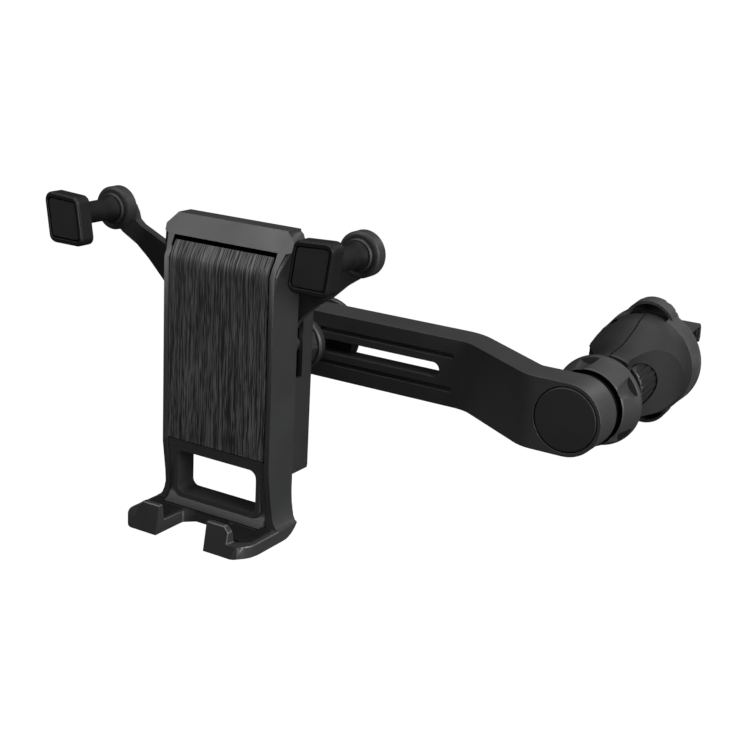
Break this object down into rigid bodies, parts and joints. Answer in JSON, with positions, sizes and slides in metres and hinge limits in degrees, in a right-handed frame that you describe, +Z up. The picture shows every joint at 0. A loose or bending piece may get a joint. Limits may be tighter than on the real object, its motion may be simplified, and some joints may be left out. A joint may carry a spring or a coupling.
{
  "type": "air vent phone holder",
  "caption": "Phone cradle with two closing side arms, carried by a ball joint on a cranked extension arm, with a second ball joint and an air vent clip with hook.",
  "frame": {"origin": "middle of the vent clip's rear face, where its shoes meet the vent slats", "axes": "+X to the clip's side of the cradle (the right as the phone's user sees it), +Y towards the vent, +Z up; the clip's own axis leans up by 5.5 degrees from +Y"},
  "size_m": [0.2002, 0.1713, 0.1182],
  "materials": {
    "frame": "satin",
    "brushed": "brushed",
    "dark": "matte",
    "housing": "matte",
    "arm": "matte",
    "clip": "matte",
    "rubber": "matte",
    "steel": "satin",
    "nylon": "matte"
  },
  "bodies": {
    "clip": {"vent_ball_stem": "dark", "clip_half_left": "clip", "clip_half_right": "clip", "upper_shoe": "rubber", "lower_shoe": "rubber", "base_plate": "dark", "clip_screws": "steel"},
    "thumb_wheel": {"thumb_wheel": "dark"},
    "hook": {"vent_hook": "frame", "hook_grip": "rubber"},
    "vent_cup": {"vent_ball_cup": "nylon"},
    "socket": {"end_socket": "dark", "friction_washer": "rubber", "pivot_bolt": "steel", "bolt_washer": "steel"},
    "vent_nut": {"vent_nut": "clip"},
    "arm": {"extension_arm": "arm", "end_cap": "dark"},
    "slider": {"slider_socket": "dark", "slider_back_plate": "dark", "slider_screws": "steel"},
    "cradle_nut": {"cradle_nut": "frame"},
    "cradle_cup": {"cradle_ball_cup": "nylon"},
    "ball_stud": {"cradle_ball_stud": "dark"},
    "housing": {"rear_housing": "housing", "housing_cover": "dark", "cover_screws": "steel", "arm_pivot_pins": "steel", "pivot_spacers": "nylon", "stud_retainer": "steel", "retainer_screws": "steel", "return_spring": "steel"},
    "carriage": {"front_frame": "frame", "brushed_plate": "brushed", "lower_liner": "dark", "foot_pad": "rubber", "slide_plate": "dark", "frame_screws": "steel", "guide_screws": "steel"},
    "left_arm": {"left_arm": "housing", "left_sleeve": "rubber", "left_pad": "dark", "left_pad_face": "rubber", "left_pad_screw": "steel"},
    "right_arm": {"right_arm": "housing", "right_sleeve": "rubber", "right_pad": "dark", "right_pad_face": "rubber", "right_pad_screw": "steel"}
  },
  "joints": [
    {"name": "knob_turn", "type": "hinge", "parent": "clip", "child": "thumb_wheel", "pos_m": [0, -0.05256, -0.00506], "axis": [0, 0.9954, 0.0958], "range_deg": [0, 1800]},
    {"name": "hook_slide", "type": "slide", "parent": "clip", "child": "hook", "axis": [0, 0.9954, 0.0958], "range_m": [-0.0105, 0]},
    {"name": "ball_pan", "type": "hinge", "parent": "clip", "child": "vent_cup", "pos_m": [0, -0.05256, -0.00506], "axis": [0, 0, 1], "range_deg": [-12, 12]},
    {"name": "ball_tilt", "type": "hinge", "parent": "vent_cup", "child": "socket", "pos_m": [0, -0.05256, -0.00506], "axis": [1, 0, 0], "range_deg": [-6.5, 17.5]},
    {"name": "vent_nut_turn", "type": "hinge", "parent": "socket", "child": "vent_nut", "pos_m": [0, -0.05256, -0.00506], "axis": [0, 1, 0], "range_deg": [0, 90]},
    {"name": "arm_swivel", "type": "hinge", "parent": "socket", "child": "arm", "pos_m": [0, -0.06336, -0.00506], "axis": [0, 1, 0], "continuous": true},
    {"name": "slider_slide", "type": "slide", "parent": "arm", "child": "slider", "axis": [1, 0, 0], "range_m": [0, 0.04]},
    {"name": "cradle_nut_turn", "type": "hinge", "parent": "slider", "child": "cradle_nut", "pos_m": [-0.11935, -0.06636, -0.00506], "axis": [0, 1, 0], "range_deg": [0, 90]},
    {"name": "cradle_pan", "type": "hinge", "parent": "slider", "child": "cradle_cup", "pos_m": [-0.11935, -0.06636, -0.00506], "axis": [0, 0, 1], "range_deg": [-12, 12]},
    {"name": "cradle_tilt", "type": "hinge", "parent": "cradle_cup", "child": "ball_stud", "pos_m": [-0.11935, -0.06636, -0.00506], "axis": [1, 0, 0], "range_deg": [-12, 12]},
    {"name": "cradle_spin", "type": "hinge", "parent": "ball_stud", "child": "housing", "pos_m": [-0.11935, -0.06636, -0.00506], "axis": [0, 1, 0], "continuous": true},
    {"name": "carriage_slide", "type": "slide", "parent": "housing", "child": "carriage", "axis": [0, 0, 1], "range_m": [-0.0042, 0], "stiffness_N_per_m": 150, "springref_m": 0.005, "deforming": ["return_spring"]},
    {"name": "left_arm_swing", "type": "hinge", "parent": "housing", "child": "left_arm", "pos_m": [-0.13435, -0.09336, 0.00384], "axis": [0, 1, 0], "range_deg": [0, 15.96]},
    {"name": "right_arm_swing", "type": "hinge", "parent": "housing", "child": "right_arm", "pos_m": [-0.10435, -0.09336, 0.00384], "axis": [0, 1, 0], "range_deg": [-15.96, 0]}
  ],
  "couplings": [
    {"joint": "hook_slide", "follows": "knob_turn", "m_per_rad": -0.00031831},
    {"joint": "left_arm_swing", "follows": "carriage_slide", "rad_per_m": -66.236},
    {"joint": "right_arm_swing", "follows": "carriage_slide", "rad_per_m": 66.236}
  ]
}
